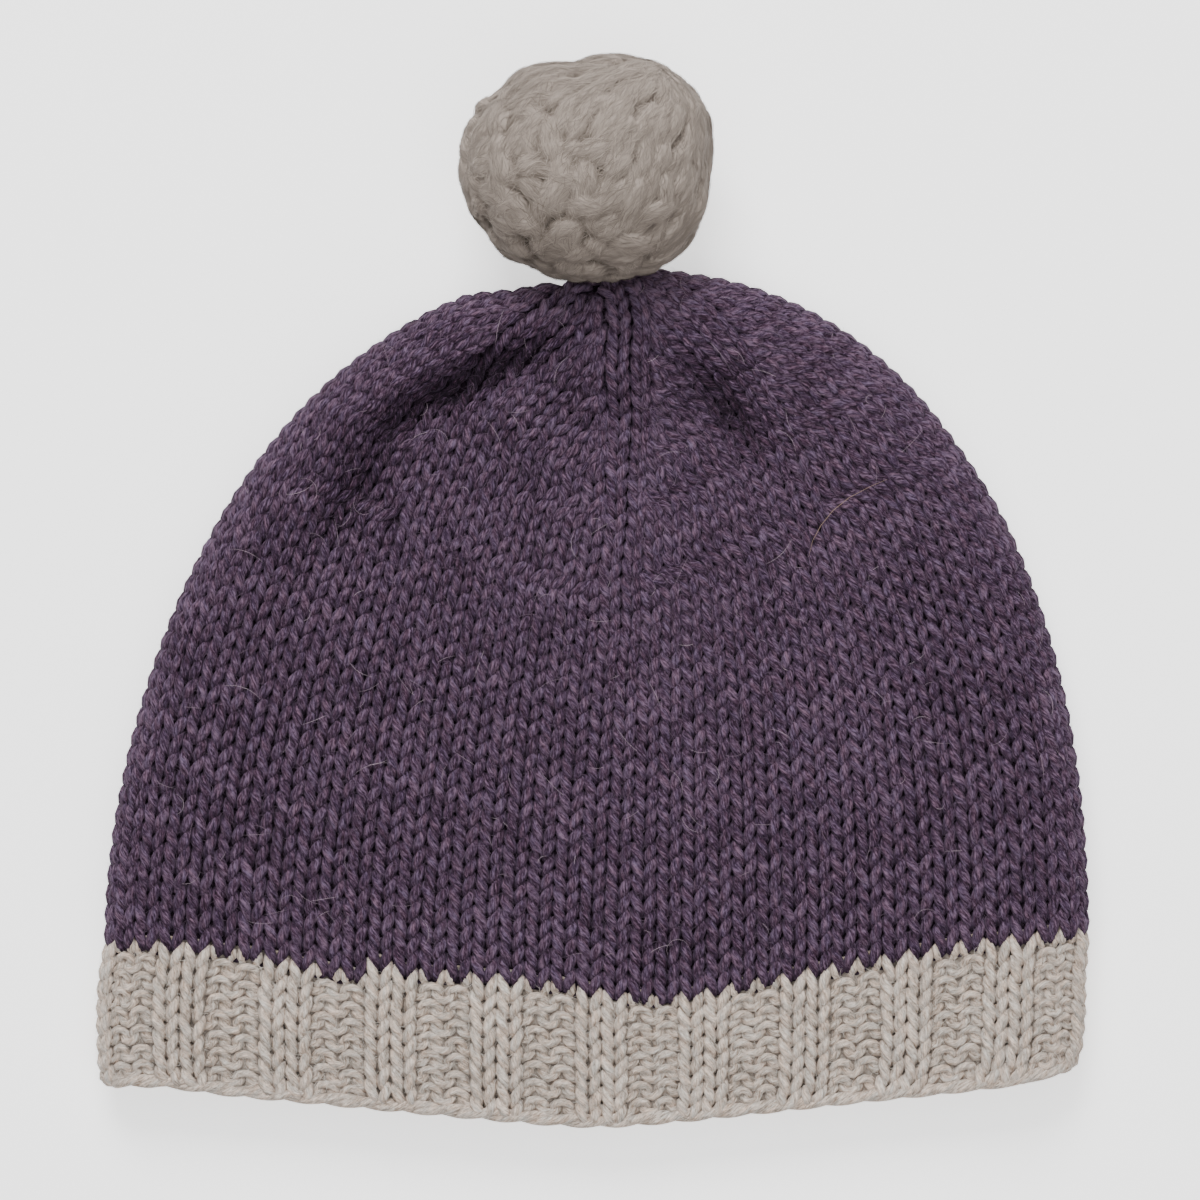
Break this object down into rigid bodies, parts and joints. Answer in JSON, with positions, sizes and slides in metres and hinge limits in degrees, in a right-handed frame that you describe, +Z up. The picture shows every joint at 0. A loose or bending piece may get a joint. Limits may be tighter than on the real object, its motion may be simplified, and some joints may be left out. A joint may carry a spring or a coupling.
{
  "type": "knitted beanie with pompom",
  "caption": "Knitted wool beanie lying flat, with a plain crown, a contrasting ribbed band and a round pompom tied to its tip.",
  "frame": {"origin": "on the flat underside of the crown, on the surface that the hat lies on, near the middle of its length", "axes": "+Z up from the surface, +Y from the hem towards the pompom, +X to the right of the upper layer"},
  "size_m": [0.2239, 0.241, 0.0481],
  "materials": {
    "crown_wool": "soft stockinette wool, dark mauve",
    "band_wool": "soft ribbed wool, warm light grey",
    "pompom_wool": "loose fluffy wool locks, warm grey",
    "tie_wool": "plied wool cord, warm grey"
  },
  "bodies": {
    "root": {"crown": "crown_wool", "rib_band": "band_wool", "pompom": "pompom_wool", "pompom_tie": "tie_wool"}
  },
  "joints": []
}
